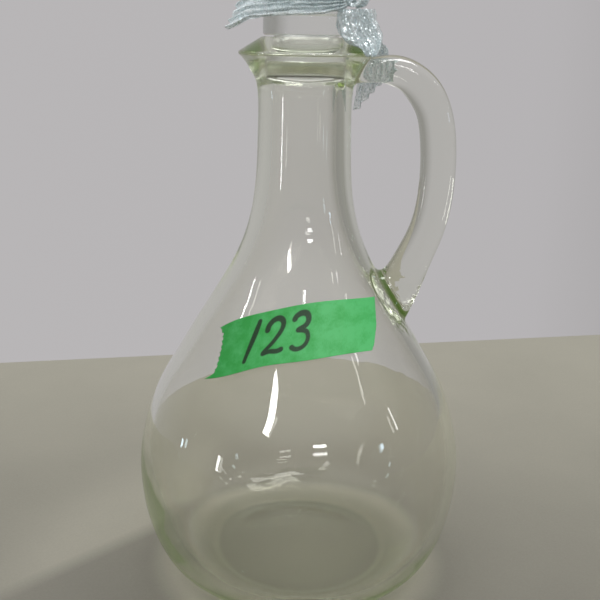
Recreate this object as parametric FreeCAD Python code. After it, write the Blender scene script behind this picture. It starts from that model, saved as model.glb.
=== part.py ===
import FreeCAD, Part
import math
import os

# Stoppered glass bottle with a handle, standing on z = 0 with its axis on +Z.
# The handle is on the +X side and lies in the plane y = 0. Millimetres.

V = FreeCAD.Vector

# ---------------------------------------------------------------- dimensions
# Outside of the vessel as (radius, height), from the edge of the foot to the
# top of the neck.
FOOT_R = 43.4            # outer edge of the flat ring it stands on
FOOT_RING = 6.0          # width of that ring
OUTER = [
    (49.0, 1.3), (55.4, 3.8), (61.2, 7.6), (66.4, 13.0), (71.4, 22.5), (75.3, 35.0),
    (77.2, 48.0), (77.5, 60.0), (75.3, 75.0), (70.0, 92.0), (60.2, 110.0), (49.6, 128.0),
    (39.1, 145.0), (30.6, 160.0), (25.0, 175.0), (21.7, 195.0), (20.9, 215.0),
]
NECK_TOP = (20.8, 229.0)      # where the neck starts to flare into the collar
FLARE = [(21.1, 234.0), (22.0, 238.3), (24.1, 242.2), (26.7, 246.2)]
CREST_R, CREST_Z = 30.2, 249.8   # sharp edge of the collar
CREST_ROUND = 1.2
LAND_R, LAND_Z = 19.2, 256.4     # flat top of the mouth
LAND_ROUND = 0.8

# Inside of the vessel, from the bottom of the mouth's taper down to the floor.
MOUTH_R = 14.45          # radius of the ground taper at the top of the mouth
MOUTH_LOW_R = 13.65      # and at its bottom
MOUTH_LOW_Z = 240.0
INNER = [
    (13.8, 233.0), (14.1, 222.0), (14.5, 208.0), (15.4, 194.0), (18.7, 176.0), (24.0, 161.0),
    (32.6, 145.0), (43.6, 128.0), (54.6, 110.0), (64.9, 92.0), (70.7, 75.0),
    (72.8, 60.0), (71.8, 46.0), (69.3, 34.0), (65.5, 24.0), (61.3, 17.0), (56.5, 12.6),
]
FLOOR_EDGE = (40.0, 9.4)      # where the wall turns into the floor
FLOOR_MID = (22.0, 9.4)
FLOOR_Z = 10.4                # middle of the floor
PUSH_UP = 2.0                 # height of the hollow under the base

# Handle: centre line in the plane y = 0 as (x, z, half thickness in that plane,
# half width along y).
HANDLE = [
    (17.2, 242.2, 5.1, 5.8), (24.8, 242.7, 5.3, 5.8), (30.1, 243.1, 5.5, 5.7),
    (35.9, 243.4, 6.2, 5.6), (44.3, 241.1, 7.0, 5.6), (50.9, 236.0, 7.7, 5.6),
    (56.5, 227.3, 7.8, 5.6), (59.6, 214.4, 8.0, 5.6), (60.5, 201.5, 8.0, 5.6),
    (59.8, 186.0, 8.0, 5.6), (56.6, 171.0, 8.0, 5.6), (51.6, 158.8, 8.5, 5.8),
    (46.5, 147.8, 9.7, 6.7), (41.3, 139.9, 11.8, 8.2), (34.5, 132.0, 14.6, 10.1),
]
HANDLE_POWER = 2.6            # squareness of the handle's section

# Stopper as (radius, height).
PLUG_LOW_R, PLUG_LOW_Z = 13.30, 242.3
PLUG_DOME = 1.7               # how far the plug's end bulges
PLUG_TOP_R = 14.10            # the plug's taper at the underside of its shoulder
SHOULDER_R, SHOULDER_Z = 18.8, 257.0
DRUM_TOP = 265.4              # top of the short drum above the shoulder
WAIST_R = 14.6
WAIST_LOW, WAIST_TOP = 267.0, 278.8
HEAD = [(15.8, 280.6), (19.6, 284.2), (22.0, 289.8), (21.1, 296.0),
        (15.8, 300.8), (7.6, 302.7)]
TOP_Z = 303.0

# Tape on the shoulder: its lower and upper edges as (x, z), its thickness and the
# film of adhesive between it and the glass.
TAPE_T = 0.20
TAPE_GAP = 0.08
TAPE_LOW = [(-40.0, 113.4), (-32.0, 116.5), (-15.5, 122.8), (-0.4, 125.5), (17.0, 127.3), (30.8, 126.9)]
TAPE_HIGH = [(-35.0, 133.2), (-27.5, 138.0), (-13.4, 143.4), (3.0, 147.1), (21.0, 147.4), (32.6, 145.6)]

# Ribbon: turns round the waist of the stopper, tied in a bow at the front right.
BAND_IN, BAND_OUT = 15.0, 18.4
BAND_LOW, BAND_TOP = 266.3, 278.6
KNOT_AZ = -28.0               # degrees from +X towards +Y
KNOT_AT_R, KNOT_Z = 23.6, 272.6
KNOT_LONG, KNOT_ROUND = 5.6, 4.6
# Upright loop as (x, y, z, half height, half thickness).
LOOP_LEFT = [(16.6, -17.6, 275.8, 3.0, 1.8), (8.6, -23.6, 279.0, 5.6, 3.0),
             (-3.2, -26.6, 282.0, 8.0, 3.6), (-15.2, -25.6, 282.5, 8.4, 3.6),
             (-24.4, -20.0, 281.0, 7.4, 3.0), (-27.8, -14.7, 279.5, 3.2, 1.6)]
# The loop that hangs at the right and the ends, as (x, y, z, half width, direction
# of the width, thickness), and the two corners at the tip or slanting cut of each.
LOOP_RIGHT = [(20.4, -13.3, 267.4, 7.6, (0.87, 0.48, 0.02), 3.4),
              (20.9, -13.4, 262.8, 9.6, (0.87, 0.48, 0.02), 4.2),
              (22.4, -13.7, 258.2, 10.3, (0.86, 0.50, 0.0), 4.2),
              (24.8, -14.7, 254.6, 8.6, (0.83, 0.56, 0.0), 3.2),
              (26.9, -16.5, 252.0, 4.6, (0.85, 0.52, -0.05), 2.2)]
TIP_RIGHT = [(25.6, -19.3, 249.4), (29.0, -17.4, 249.4)]
END_RIGHT = [(24.2, -5.2, 267.6, 3.6, (0.80, -0.45, -0.40), 2.0),
             (25.8, -4.4, 262.4, 4.2, (0.78, -0.45, -0.44), 2.0),
             (27.8, -2.6, 257.8, 4.4, (0.78, -0.42, -0.46), 2.0),
             (29.8, 1.2, 255.0, 4.4, (0.82, -0.25, -0.46), 2.0),
             (31.4, 6.6, 253.4, 4.6, (0.88, -0.15, -0.40), 1.8),
             (33.0, 13.2, 246.6, 6.5, (0.86, -0.42, -0.28), 1.6)]
CUT_RIGHT = [(23.2, 19.4, 222.8), (38.9, 12.6, 243.0)]
END_LEFT = [(15.6, -18.2, 270.2, 2.0, (0.0, 0.0, 1.0), 1.8),
            (6.0, -22.0, 269.4, 3.8, (0.0, 0.0, 1.0), 1.6),
            (-6.0, -23.0, 269.4, 4.4, (0.0, 0.0, 1.0), 1.6),
            (-17.0, -20.0, 269.2, 5.0, (0.0, 0.0, 1.0), 1.6),
            (-26.0, -15.4, 268.2, 6.0, (0.0, 0.0, 1.0), 1.6)]
CUT_LEFT = [(-34.0, -11.2, 258.4), (-32.6, -12.0, 272.0)]


# ------------------------------------------------------------------- helpers
def spline(points, start=None, end=None):
    c = Part.BSplineCurve()
    pts = [V(*p) for p in points]
    if start is not None:
        c.interpolate(Points=pts, InitialTangent=V(*start).normalize(),
                      FinalTangent=V(*end).normalize(), Scale=False)
    else:
        c.interpolate(pts)
    return c.toShape()


def rz(p):
    return (p[0], 0.0, p[1])


def line(a, b):
    return Part.LineSegment(V(*rz(a)), V(*rz(b))).toShape()


def arc(a, m, b):
    return Part.Arc(V(*rz(a)), V(*rz(m)), V(*rz(b))).toShape()


def corner(a, p, b, r):
    """Rounds the corner p between a and b: the two tangent points and the arc."""
    u = (V(*rz(a)) - V(*rz(p))).normalize()
    w = (V(*rz(b)) - V(*rz(p))).normalize()
    half = u.getAngle(w) / 2.0
    d = r / math.tan(half)
    mid = (u + w).normalize() * (r / math.sin(half) - r)
    t1, t2, m = V(*rz(p)) + u * d, V(*rz(p)) + w * d, V(*rz(p)) + mid
    return (t1.x, t1.z), (m.x, m.z), (t2.x, t2.z)


def turned(edges):
    """Solid of revolution about +Z of the face that the edges close."""
    wire = Part.Wire(Part.__sortEdges__(edges))
    return Part.Face(wire).revolve(V(0, 0, 0), V(0, 0, 1), 360.0)


def solid(shape):
    s = shape.Solids
    one = max(s, key=lambda k: k.Volume)
    return one if len(s) > 1 else s[0]


# ------------------------------------------------------------ vessel profile
outer_pts = [(FOOT_R, 0.0)] + OUTER + [NECK_TOP]
flare_dir = (0.78, 0.62)
crest_in, crest_mid, crest_out = corner(FLARE[-1], (CREST_R, CREST_Z), (LAND_R + 0.4, LAND_Z - 0.5), CREST_ROUND)
land_in, land_mid, land_out = corner(crest_out, (LAND_R, LAND_Z), (MOUTH_R, LAND_Z), LAND_ROUND)


def skin_edges():
    """Outside of the vessel from the foot's edge to the flat of the mouth."""
    body = spline([rz(p) for p in outer_pts + FLARE + [crest_in]],
                  (1.0, 0.0, 0.02), (flare_dir[0], 0.0, flare_dir[1]))
    return [body, arc(crest_in, crest_mid, crest_out), line(crest_out, land_in),
            arc(land_in, land_mid, land_out)]


mouth_edge_in, mouth_edge_mid, mouth_edge_out = corner(
    land_out, (MOUTH_R, LAND_Z), (MOUTH_LOW_R, MOUTH_LOW_Z), 0.6)

inside = [(MOUTH_LOW_R, MOUTH_LOW_Z)] + INNER + [FLOOR_EDGE, FLOOR_MID, (0.0, FLOOR_Z)]
inner_curve = spline([rz(p) for p in inside], (0.05, 0.0, -1.0), (-1.0, 0.0, 0.0))
ring_in = FOOT_R - FOOT_RING
under = spline([rz((ring_in, 0.0)), rz((ring_in - 4.5, 0.32)), rz((20.0, 1.35)), rz((0.0, PUSH_UP))],
               (-1.0, 0.0, 0.02), (-1.0, 0.0, 0.0))

bottle_body = turned(skin_edges() + [
    line(land_out, mouth_edge_in), arc(mouth_edge_in, mouth_edge_mid, mouth_edge_out),
    line(mouth_edge_out, (MOUTH_LOW_R, MOUTH_LOW_Z)), inner_curve,
    line((0.0, FLOOR_Z), (0.0, PUSH_UP)), under, line((ring_in, 0.0), (FOOT_R, 0.0)),
])
envelope = turned(skin_edges() + [
    line(land_out, (0.0, LAND_Z)), line((0.0, LAND_Z), (0.0, 0.0)), line((0.0, 0.0), (FOOT_R, 0.0))])


# ------------------------------------------------------------------- handle
def section(at, tangent, a, b, power, n=28):
    """Closed rounded section across the tangent (in the plane y = 0)."""
    t = V(*tangent).normalize()
    out = V(0, 1, 0).cross(t)
    pts = []
    for i in range(n):
        th = 2 * math.pi * i / n
        c, s = math.cos(th), math.sin(th)
        u = math.copysign(abs(c) ** (2.0 / power), c)
        w = math.copysign(abs(s) ** (2.0 / power), s)
        pts.append(V(*at) + out * (a * u) + V(0, 1, 0) * (b * w))
    c = Part.BSplineCurve()
    c.interpolate(Points=pts, PeriodicFlag=True)
    return Part.Wire([c.toShape()])


wires = []
for i, (x, z, a, b) in enumerate(HANDLE):
    p = HANDLE[max(i - 1, 0)]
    q = HANDLE[min(i + 1, len(HANDLE) - 1)]
    wires.append(section((x, 0, z), (q[0] - p[0], 0, q[1] - p[1]), a, b, HANDLE_POWER))
handle = solid(Part.makeLoft(wires, True, False).cut(envelope))

# ------------------------------------------------------------------- stopper
dome_r = (PLUG_LOW_R ** 2 + PLUG_DOME ** 2) / (2 * PLUG_DOME)
dome_mid = (PLUG_LOW_R / 2, PLUG_LOW_Z - PLUG_DOME + dome_r - math.sqrt(dome_r ** 2 - PLUG_LOW_R ** 2 / 4))
sh_a, sh_m, sh_b = corner((PLUG_TOP_R, SHOULDER_Z), (SHOULDER_R, SHOULDER_Z), (SHOULDER_R, DRUM_TOP), 0.9)
dr_a, dr_m, dr_b = corner((SHOULDER_R, SHOULDER_Z), (SHOULDER_R, DRUM_TOP), (WAIST_R, DRUM_TOP), 1.1)
stopper = turned([
    arc((0.0, PLUG_LOW_Z - PLUG_DOME), dome_mid, (PLUG_LOW_R, PLUG_LOW_Z)),
    line((PLUG_LOW_R, PLUG_LOW_Z), (PLUG_TOP_R, SHOULDER_Z)), line((PLUG_TOP_R, SHOULDER_Z), sh_a),
    arc(sh_a, sh_m, sh_b), line(sh_b, dr_a), arc(dr_a, dr_m, dr_b),
    line(dr_b, (WAIST_R + 1.2, DRUM_TOP)),
    spline([rz(p) for p in [(WAIST_R + 1.2, DRUM_TOP), (WAIST_R, WAIST_LOW), (WAIST_R - 0.1, 273.0),
                            (WAIST_R, WAIST_TOP)] + HEAD + [(0.0, TOP_Z)]],
           (-1.0, 0.0, 0.25), (-1.0, 0.0, 0.0)),
    line((0.0, TOP_Z), (0.0, PLUG_LOW_Z - PLUG_DOME)),
])

# ---------------------------------------------------------------------- tape
# The tape lies on the skin of the shoulder: a grid of points on the skin, moved
# out along its normal for each of its two faces.
skin = skin_edges()[0].Curve


def skin_at(z):
    """Radius and slope of the skin at a height, by halving."""
    lo, hi = skin.FirstParameter, skin.LastParameter
    for _ in range(60):
        mid = (lo + hi) / 2
        if skin.value(mid).z < z:
            lo = mid
        else:
            hi = mid
    t = skin.tangent(lo)[0]
    return skin.value(lo).x, t.x / t.z


def on_skin(x, z, h):
    r, k = skin_at(z)
    y = -math.sqrt(r * r - x * x)
    n = V(x / r, y / r, -k).normalize()
    return V(x, y, z) + n * h


low_edge, high_edge = spline([rz(p) for p in TAPE_LOW]).Curve, spline([rz(p) for p in TAPE_HIGH]).Curve


def tape_face(h, nu=15, nv=6):
    grid = []
    for i in range(nu):
        f = i / (nu - 1)
        a = low_edge.value(low_edge.FirstParameter + f * (low_edge.LastParameter - low_edge.FirstParameter))
        b = high_edge.value(high_edge.FirstParameter + f * (high_edge.LastParameter - high_edge.FirstParameter))
        grid.append([on_skin((a + (b - a) * (j / (nv - 1))).x, (a + (b - a) * (j / (nv - 1))).z, h) for j in range(nv)])
    s = Part.BSplineSurface()
    s.interpolate(grid)
    return s


inner_face, outer_face = tape_face(TAPE_GAP), tape_face(TAPE_GAP + TAPE_T)


def edges_of(s):
    u0, u1, v0, v1 = s.bounds()
    return [s.vIso(v0).toShape(), s.uIso(u1).toShape(), s.vIso(v1).toShape(), s.uIso(u0).toShape()]


sides = [Part.makeRuledSurface(e, f) for e, f in zip(edges_of(inner_face), edges_of(outer_face))]
film = Part.makeShell([inner_face.toShape(), outer_face.toShape()] + sides)
film.sewShape()
lot_label = Part.makeSolid(film if film.ShapeType == "Shell" else film.Shells[0])

# -------------------------------------------------------------------- ribbon
ribbon_band = turned([
    line((BAND_IN, BAND_LOW), (BAND_OUT - 0.7, BAND_LOW)), line((BAND_OUT - 0.7, BAND_LOW), (BAND_OUT, BAND_LOW + 0.9)),
    line((BAND_OUT, BAND_LOW + 0.9), (BAND_OUT, BAND_TOP - 0.9)), line((BAND_OUT, BAND_TOP - 0.9), (BAND_OUT - 0.7, BAND_TOP)),
    line((BAND_OUT - 0.7, BAND_TOP), (BAND_IN, BAND_TOP)), line((BAND_IN, BAND_TOP), (BAND_IN, BAND_LOW))])

az = math.radians(KNOT_AZ)
barrel = [(-KNOT_LONG, 0.0), (-KNOT_LONG, 0.62 * KNOT_ROUND), (-0.4 * KNOT_LONG, KNOT_ROUND),
          (0.4 * KNOT_LONG, KNOT_ROUND), (KNOT_LONG, 0.62 * KNOT_ROUND), (KNOT_LONG, 0.0)]
ribbon_knot = Part.Face(Part.makePolygon([V(x, y, 0) for x, y in barrel + barrel[:1]])).revolve(V(0, 0, 0), V(1, 0, 0), 360.0)
ribbon_knot.rotate(V(0, 0, 0), V(0, 0, 1), KNOT_AZ - 90.0)
ribbon_knot.translate(V(KNOT_AT_R * math.cos(az), KNOT_AT_R * math.sin(az), KNOT_Z))


def oval(at, across, up, w, h, n=20):
    pts = [V(*at) + across * (w * math.cos(2 * math.pi * i / n)) + up * (h * math.sin(2 * math.pi * i / n)) for i in range(n)]
    c = Part.BSplineCurve()
    c.interpolate(Points=pts, PeriodicFlag=True)
    return Part.Wire([c.toShape()])


def petal(stations):
    ws = []
    for i, (x, y, z, h, w) in enumerate(stations):
        p, q = stations[max(i - 1, 0)], stations[min(i + 1, len(stations) - 1)]
        t = V(q[0] - p[0], q[1] - p[1], 0).normalize()
        ws.append(oval((x, y, z), V(-t.y, t.x, 0), V(0, 0, 1), w, h))
    return solid(Part.makeLoft(ws, True, True))


def strip(stations, cut):
    """Strip along the stations, ending at the two corners of its tip or cut."""
    rows = []
    for i, (x, y, z, w, across, thick) in enumerate(stations):
        a = V(*across).normalize()
        p, q = stations[max(i - 1, 0)], stations[min(i + 1, len(stations) - 1)]
        t = V(q[0] - p[0], q[1] - p[1], q[2] - p[2])
        t = (t - a * t.dot(a)).normalize()
        n = a.cross(t).normalize() * (thick / 2)
        m = V(x, y, z)
        rows.append([m - a * w - n, m + a * w - n, m + a * w + n, m - a * w + n])
    lo, hi = V(*cut[0]), V(*cut[1])
    n = (rows[-1][2] - rows[-1][1]) * 0.5
    rows.append([lo - n, hi - n, hi + n, lo + n])
    return solid(Part.makeLoft([Part.makePolygon(r + r[:1]) for r in rows], True, True))


ribbon_loop_left = petal(LOOP_LEFT)
ribbon_loop_right = strip(LOOP_RIGHT, TIP_RIGHT)
ribbon_tail_right = strip(END_RIGHT, CUT_RIGHT)
ribbon_tail_left = strip(END_LEFT, CUT_LEFT)

# -------------------------------------------------------------------- export
os.makedirs("parts", exist_ok=True)
NODES = {
    "bottle_body": bottle_body, "handle": handle, "stopper": stopper, "lot_label": lot_label,
    "ribbon_band": ribbon_band, "ribbon_knot": ribbon_knot, "ribbon_loop_left": ribbon_loop_left,
    "ribbon_loop_right": ribbon_loop_right, "ribbon_tail_right": ribbon_tail_right,
    "ribbon_tail_left": ribbon_tail_left,
}
for name, shape in NODES.items():
    if shape.ShapeType != "Solid":
        shape = solid(shape)
    if shape.Volume < 0:
        shape.reverse()
    shape.exportStep("parts/%s.step" % name)
    b = shape.BoundBox
    print("%-18s %s valid=%s V=%.2f cm3  x %.1f..%.1f  y %.1f..%.1f  z %.1f..%.1f" % (
        name, shape.ShapeType, shape.isValid(), shape.Volume / 1000.0, b.XMin, b.XMax, b.YMin, b.YMax, b.ZMin, b.ZMax))
inner_solid = turned([inner_curve, line((0.0, FLOOR_Z), (0.0, MOUTH_LOW_Z)), line((0.0, MOUTH_LOW_Z), (MOUTH_LOW_R, MOUTH_LOW_Z))])
print("holds %.2f litres to the bottom of the mouth" % (inner_solid.Volume / 1e6))
names = list(NODES)
for i, a in enumerate(names):
    for b in names[i + 1:]:
        common = NODES[a].common(NODES[b]).Volume
        if common > 0.001:
            print("overlap", a, b, round(common, 3), "mm3")
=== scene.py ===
import math

import bpy
import numpy as np
from mathutils import Matrix, Vector
from mathutils.geometry import delaunay_2d_cdt


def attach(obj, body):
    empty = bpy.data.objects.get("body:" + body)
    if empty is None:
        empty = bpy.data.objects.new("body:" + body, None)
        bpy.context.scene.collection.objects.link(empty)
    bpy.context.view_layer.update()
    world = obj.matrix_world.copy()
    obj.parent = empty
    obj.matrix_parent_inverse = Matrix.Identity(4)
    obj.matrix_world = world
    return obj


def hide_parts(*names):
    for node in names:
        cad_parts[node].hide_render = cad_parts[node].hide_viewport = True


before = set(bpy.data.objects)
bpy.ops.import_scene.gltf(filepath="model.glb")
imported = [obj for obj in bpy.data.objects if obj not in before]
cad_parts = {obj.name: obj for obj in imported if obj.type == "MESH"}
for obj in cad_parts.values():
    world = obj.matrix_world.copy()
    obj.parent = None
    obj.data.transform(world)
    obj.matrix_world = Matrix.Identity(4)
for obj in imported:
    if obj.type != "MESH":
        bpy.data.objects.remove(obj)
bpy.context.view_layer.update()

scene = bpy.context.scene
MM = 0.001

# =============================================================== dimensions (mm)
FOOT_R, FOOT_RING = 43.4, 6.0
OUTER = [
    (49.0, 1.3), (55.4, 3.8), (61.2, 7.6), (66.4, 13.0), (71.4, 22.5), (75.3, 35.0),
    (77.2, 48.0), (77.5, 60.0), (75.3, 75.0), (70.0, 92.0), (60.2, 110.0), (49.6, 128.0),
    (39.1, 145.0), (30.6, 160.0), (25.0, 175.0), (21.7, 195.0), (20.9, 215.0),
]
NECK_TOP = (20.8, 229.0)
FLARE = [(21.1, 234.0), (22.0, 238.3), (24.1, 242.2), (26.7, 246.2)]
CREST = (30.2, 249.8)
CREST_ROUND = 1.2
LAND = (19.2, 256.4)
LAND_ROUND = 0.8
MOUTH_R, MOUTH_LOW_R, MOUTH_LOW_Z = 14.45, 13.65, 240.0
INNER = [
    (13.8, 233.0), (14.1, 222.0), (14.5, 208.0), (15.4, 194.0), (18.7, 176.0), (24.0, 161.0),
    (32.6, 145.0), (43.6, 128.0), (54.6, 110.0), (64.9, 92.0), (70.7, 75.0),
    (72.8, 60.0), (71.8, 46.0), (69.3, 34.0), (65.5, 24.0), (61.3, 17.0), (56.5, 12.6),
]
FLOOR_EDGE, FLOOR_MID, FLOOR_Z = (40.0, 9.4), (22.0, 9.4), 10.4
PUSH_UP = 2.0
HANDLE = [
    (17.2, 242.2, 5.1, 5.8), (24.8, 242.7, 5.3, 5.8), (30.1, 243.1, 5.5, 5.7),
    (35.9, 243.4, 6.2, 5.6), (44.3, 241.1, 7.0, 5.6), (50.9, 236.0, 7.7, 5.6),
    (56.5, 227.3, 7.8, 5.6), (59.6, 214.4, 8.0, 5.6), (60.5, 201.5, 8.0, 5.6),
    (59.8, 186.0, 8.0, 5.6), (56.6, 171.0, 8.0, 5.6), (51.6, 158.8, 8.5, 5.8),
    (46.5, 147.8, 9.7, 6.7), (41.3, 139.9, 11.8, 8.2), (34.5, 132.0, 14.6, 10.1),
]
HANDLE_POWER = 2.6
PLUG_LOW_R, PLUG_LOW_Z, PLUG_DOME, PLUG_TOP_R = 13.30, 242.3, 1.7, 14.10
SHOULDER_R, SHOULDER_Z, DRUM_TOP = 18.8, 257.0, 265.4
WAIST_R, WAIST_LOW, WAIST_TOP = 14.6, 267.0, 278.8
HEAD = [(15.8, 280.6), (19.6, 284.2), (22.0, 289.8), (21.1, 296.0), (15.8, 300.8), (7.6, 302.7)]
TOP_Z = 303.0
TAPE_T, TAPE_GAP = 0.20, 0.08
TAPE_LOW = [(-40.0, 113.4), (-32.0, 116.5), (-15.5, 122.8), (-0.4, 125.5), (17.0, 127.3), (30.8, 126.9)]
TAPE_HIGH = [(-35.0, 133.2), (-27.5, 138.0), (-13.4, 143.4), (3.0, 147.1), (21.0, 147.4), (32.6, 145.6)]


# ======================================================================= curves
class Curve:
    """Cubic curve through points, by chord length, with given or fitted end slopes."""

    def __init__(self, points, start=None, end=None):
        p = self.p = np.array(points, float)
        h = np.linalg.norm(np.diff(p, axis=0), axis=1)
        self.t = np.concatenate([[0.0], np.cumsum(h)])
        n = len(p)

        def slope(idx, at):
            k = min(4, n)
            ii = idx[:k]
            out = np.zeros(p.shape[1])
            for a in ii:
                others = [b for b in ii if b != a]
                den = np.prod([self.t[a] - self.t[b] for b in others])
                num = sum(np.prod([at - self.t[c] for c in others if c != b]) for b in others)
                out += p[a] * num / den
            return out

        m0 = np.array(start, float) / np.linalg.norm(start) if start is not None else slope(list(range(n)), self.t[0])
        m1 = np.array(end, float) / np.linalg.norm(end) if end is not None else slope(list(range(n))[::-1], self.t[-1])
        a = np.zeros((n, n))
        b = np.zeros_like(p)
        a[0, 0] = a[-1, -1] = 1.0
        b[0], b[-1] = m0, m1
        for i in range(1, n - 1):
            a[i, i - 1], a[i, i], a[i, i + 1] = 1 / h[i - 1], 2 / h[i - 1] + 2 / h[i], 1 / h[i]
            b[i] = 3 * (p[i] - p[i - 1]) / h[i - 1] ** 2 + 3 * (p[i + 1] - p[i]) / h[i] ** 2
        self.m = np.linalg.solve(a, b)

    def at(self, t):
        t = np.atleast_1d(np.asarray(t, float))
        i = np.clip(np.searchsorted(self.t, t, side="right") - 1, 0, len(self.t) - 2)
        h = self.t[i + 1] - self.t[i]
        x = ((t - self.t[i]) / h)[:, None]
        h = h[:, None]
        return ((2 * x ** 3 - 3 * x ** 2 + 1) * self.p[i] + (x ** 3 - 2 * x ** 2 + x) * h * self.m[i]
                + (-2 * x ** 3 + 3 * x ** 2) * self.p[i + 1] + (x ** 3 - x ** 2) * h * self.m[i + 1])

    def unit(self, f):
        """Points at shares of the whole, straight on beyond the ends."""
        f = np.atleast_1d(np.asarray(f, float))
        t = f * self.t[-1]
        out = self.at(np.clip(t, 0, self.t[-1]))
        out = out + np.minimum(t, 0)[:, None] * self.m[0]
        return out + np.maximum(t - self.t[-1], 0)[:, None] * self.m[-1]


def corner(a, p, b, r, n=7):
    """Points of the arc that rounds the corner p between a and b."""
    a, p, b = (np.array(v, float) for v in (a, p, b))
    u, w = (a - p) / np.linalg.norm(a - p), (b - p) / np.linalg.norm(b - p)
    half = math.acos(float(np.clip(u @ w, -1, 1))) / 2
    d = r / math.tan(half)
    c = p + (u + w) / np.linalg.norm(u + w) * r / math.sin(half)
    e, f = p + u * d - c, p + w * d - c
    om = math.acos(float(np.clip(e @ f / r ** 2, -1, 1)))
    k = np.linspace(0, 1, n)[:, None]
    return c + (np.sin((1 - k) * om) * e + np.sin(k * om) * f) / math.sin(om)


def spaced(points, step):
    """A polyline again, at an even spacing near step."""
    p = np.array(points, float)
    s = np.concatenate([[0], np.cumsum(np.linalg.norm(np.diff(p, axis=0), axis=1))])
    n = max(2, int(round(s[-1] / step)) + 1)
    t = np.linspace(0, s[-1], n)
    return np.stack([np.interp(t, s, p[:, k]) for k in range(p.shape[1])], 1)


def smooth(x, a, b):
    t = np.clip((np.asarray(x, float) - a) / (b - a), 0, 1)
    return t * t * (3 - 2 * t)


# ================================================================ vessel profile
crest_arc = corner(FLARE[-1], CREST, (LAND[0] + 0.4, LAND[1] - 0.5), CREST_ROUND, 9)
land_arc = corner(crest_arc[-1], LAND, (MOUTH_R, LAND[1]), LAND_ROUND, 7)
mouth_arc = corner(land_arc[-1], (MOUTH_R, LAND[1]), (MOUTH_LOW_R, MOUTH_LOW_Z), 0.6, 6)
skin = Curve([(FOOT_R, 0.0)] + OUTER + [NECK_TOP] + FLARE + [tuple(crest_arc[0])], (1.0, 0.02), (0.78, 0.62))
skin_fine = skin.at(np.linspace(0, skin.t[-1], 6000))
out_fine = np.concatenate([skin_fine, crest_arc[1:], land_arc])
out_s = np.concatenate([[0], np.cumsum(np.linalg.norm(np.diff(out_fine, axis=0), axis=1))])


def skin_r(z):
    return np.interp(z, out_fine[:, 1], out_fine[:, 0])


def skin_slope(z):
    return (skin_r(np.asarray(z) + 0.05) - skin_r(np.asarray(z) - 0.05)) / 0.1


def skin_arc(z):
    return np.interp(z, out_fine[:, 1], out_s)


def skin_normal(x, y, z):
    r = np.hypot(x, y)
    n = np.stack([x / r, y / r, -skin_slope(z)], -1)
    return n / np.linalg.norm(n, axis=-1, keepdims=True)


def cut(points, lo, hi):
    """The stretch of a polyline between two heights."""
    p = np.array(points)
    return p[(p[:, 1] >= lo) & (p[:, 1] <= hi)]


foot_edge = np.array([(FOOT_R - 0.9, 0.0), (FOOT_R, 0.0)])
outside = np.concatenate([
    spaced(cut(skin_fine, -1, 8), 0.7)[:-1], spaced(cut(skin_fine, 8, 229), 1.55)[:-1],
    spaced(cut(skin_fine, 229, 260), 0.55)[:-1], crest_arc,
    spaced([crest_arc[-1], land_arc[0]], 0.9)[1:-1], land_arc])
inner_curve = Curve([(MOUTH_LOW_R, MOUTH_LOW_Z)] + INNER + [FLOOR_EDGE, FLOOR_MID, (0.0, FLOOR_Z)], (0.05, -1.0), (-1.0, 0.0))
inner_fine = inner_curve.at(np.linspace(0, inner_curve.t[-1], 6000))
inside = np.concatenate([
    spaced([land_arc[-1], mouth_arc[0]], 0.8)[1:-1], mouth_arc,
    spaced([mouth_arc[-1], (MOUTH_LOW_R, MOUTH_LOW_Z)], 0.9)[1:-1],
    spaced(inner_fine, 1.5)[:-1]])
under_curve = Curve([(FOOT_R - FOOT_RING, 0.0), (FOOT_R - FOOT_RING - 4.5, 0.32), (20.0, 1.35), (0.0, PUSH_UP)], (-1.0, 0.02), (-1.0, 0.0))
under = spaced(under_curve.at(np.linspace(0, under_curve.t[-1], 2000)), 1.6)[::-1]
ring_flat = spaced([under[-1], (FOOT_R, 0.0)], 1.0)[1:-1]

SEG = 240
theta = np.linspace(-math.pi, math.pi, SEG, endpoint=False)


def inner_wave(r, z, th):
    """Slow unevenness of the blown inside, none at the ground mouth."""
    k = smooth(z, 239, 225) * smooth(r, 3, 14)
    w = (0.10 * np.sin(2 * th + 0.031 * z + 0.4) + 0.07 * np.sin(3 * th - 0.045 * z + 2.1)
         + 0.05 * np.sin(5 * th + 0.06 * z + 1.0) + 0.05 * np.sin(0.11 * z + 2 * np.sin(th + 0.7)))
    off = 1.3 * smooth(z, 72, 24) * np.cos(th - 0.25) * smooth(r, 3, 40)      # the wall is thicker on one side, low down
    return k * w * np.clip(r / 30.0, 0.45, 1.2) + off


verts, ring_start = [], []


def ring(r, z, wave=False):
    ring_start.append(len(verts))
    rr = r + (inner_wave(r, z, theta) if wave else 0.0 * theta)
    for t, q in zip(theta, rr):
        verts.append((q * math.cos(t), q * math.sin(t), z))


profile = [(r, z, False) for r, z in under[1:]] + [(r, z, False) for r, z in ring_flat]
first_out = len(profile)
profile += [(r, z, False) for r, z in outside]
last_out = len(profile) - 1
profile += [(r, z, z < 239.0) for r, z in inside]
for r, z, wv in profile:
    ring(r, z, wv)
pole_low = len(verts)
verts.append((0.0, 0.0, PUSH_UP))
pole_floor = len(verts)
verts.append((0.0, 0.0, FLOOR_Z))
faces = []

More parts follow.
